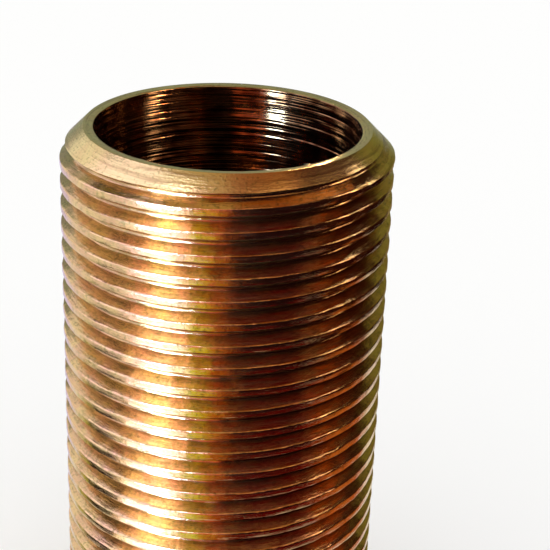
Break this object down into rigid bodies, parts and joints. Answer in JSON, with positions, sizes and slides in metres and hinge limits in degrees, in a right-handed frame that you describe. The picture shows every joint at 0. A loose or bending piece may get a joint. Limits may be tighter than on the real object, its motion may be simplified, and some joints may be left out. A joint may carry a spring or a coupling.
{
  "type": "threaded pipe nipple",
  "caption": "Short straight brass pipe with a parallel outside pipe thread along its whole length, chamfered ends and a plain through bore.",
  "frame": {"origin": "centre of the lower end face, on the pipe's axis", "axes": "+Z along the pipe's axis, from the lower end face to the upper one; X and Y across it, with no preferred direction"},
  "size_m": [0.0264, 0.0264, 0.05],
  "materials": {
    "turned_brass": "turned from bar, thread die-cut, bright with slight tarnish in the thread's root"
  },
  "bodies": {
    "root": {"nipple": "turned_brass"}
  },
  "joints": []
}
